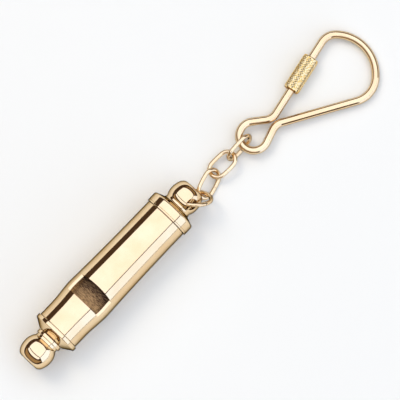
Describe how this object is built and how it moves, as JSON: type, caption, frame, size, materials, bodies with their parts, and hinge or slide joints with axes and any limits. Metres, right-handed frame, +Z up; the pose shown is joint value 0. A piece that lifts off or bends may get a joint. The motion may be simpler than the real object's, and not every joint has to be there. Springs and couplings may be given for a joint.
{
  "type": "whistle keyring",
  "caption": "Tube whistle in polished gilt brass with sound windows and ball ends, hung by a jump ring and short oval chain from a pinched wire key hook closed by a knurled lock sleeve",
  "frame": {"origin": "bottom centre of the keyring's box as it lies on a table", "axes": "+X runs along the whistle from its mouth to its cap and on to the hook, +Z is up"},
  "size_m": [0.1216, 0.0234, 0.0133],
  "materials": {
    "polished_brass": "mirror polished and gilt",
    "drawn_brass": "brushed along the tube, unpolished",
    "knurled_brass": "fine diamond knurl, gilt"
  },
  "bodies": {
    "whistle": {"barrel": "polished_brass", "mouthpiece": "polished_brass", "windway_block": "drawn_brass", "divider_plate": "drawn_brass", "chamber_stop": "drawn_brass", "top_cap": "polished_brass"},
    "ring": {"jump_ring": "polished_brass"},
    "link_1": {"chain_link_1": "polished_brass"},
    "link_2": {"chain_link_2": "polished_brass"},
    "link_3": {"chain_link_3": "polished_brass"},
    "hook": {"hook_wire": "polished_brass"},
    "sleeve": {"lock_sleeve": "knurled_brass"}
  },
  "joints": [
    {"name": "ring_swing", "type": "hinge", "parent": "whistle", "child": "ring", "pos_m": [-0.00222, 0.00497, 0.00665], "axis": [0, -0.6494, 0.7604], "range_deg": [-8, 96]},
    {"name": "link_1_swing", "type": "hinge", "parent": "ring", "child": "link_1", "pos_m": [0.00279, 0.00261, 0.00198], "axis": [0.2903, -0.8074, 0.5137], "range_deg": [-55, 30]},
    {"name": "link_2_swing", "type": "hinge", "parent": "link_1", "child": "link_2", "pos_m": [0.00918, 0.00438, 0.0021], "axis": [-0.2183, 0.7459, 0.6292], "range_deg": [-50, 34]},
    {"name": "link_3_swing", "type": "hinge", "parent": "link_2", "child": "link_3", "pos_m": [0.01539, 0.00406, 0.00275], "axis": [0.0791, 0.9584, -0.2741], "range_deg": [-50, 50]},
    {"name": "hook_swing", "type": "hinge", "parent": "link_3", "child": "hook", "pos_m": [0.01874, 0.00411, 0.00284], "axis": [-0.0306, 0.3415, 0.9394], "range_deg": [-20, 42]},
    {"name": "sleeve_slide", "type": "slide", "parent": "hook", "child": "sleeve", "axis": [-0.9813, -0.1908, 0.0244], "range_m": [0, 0.0053]}
  ]
}
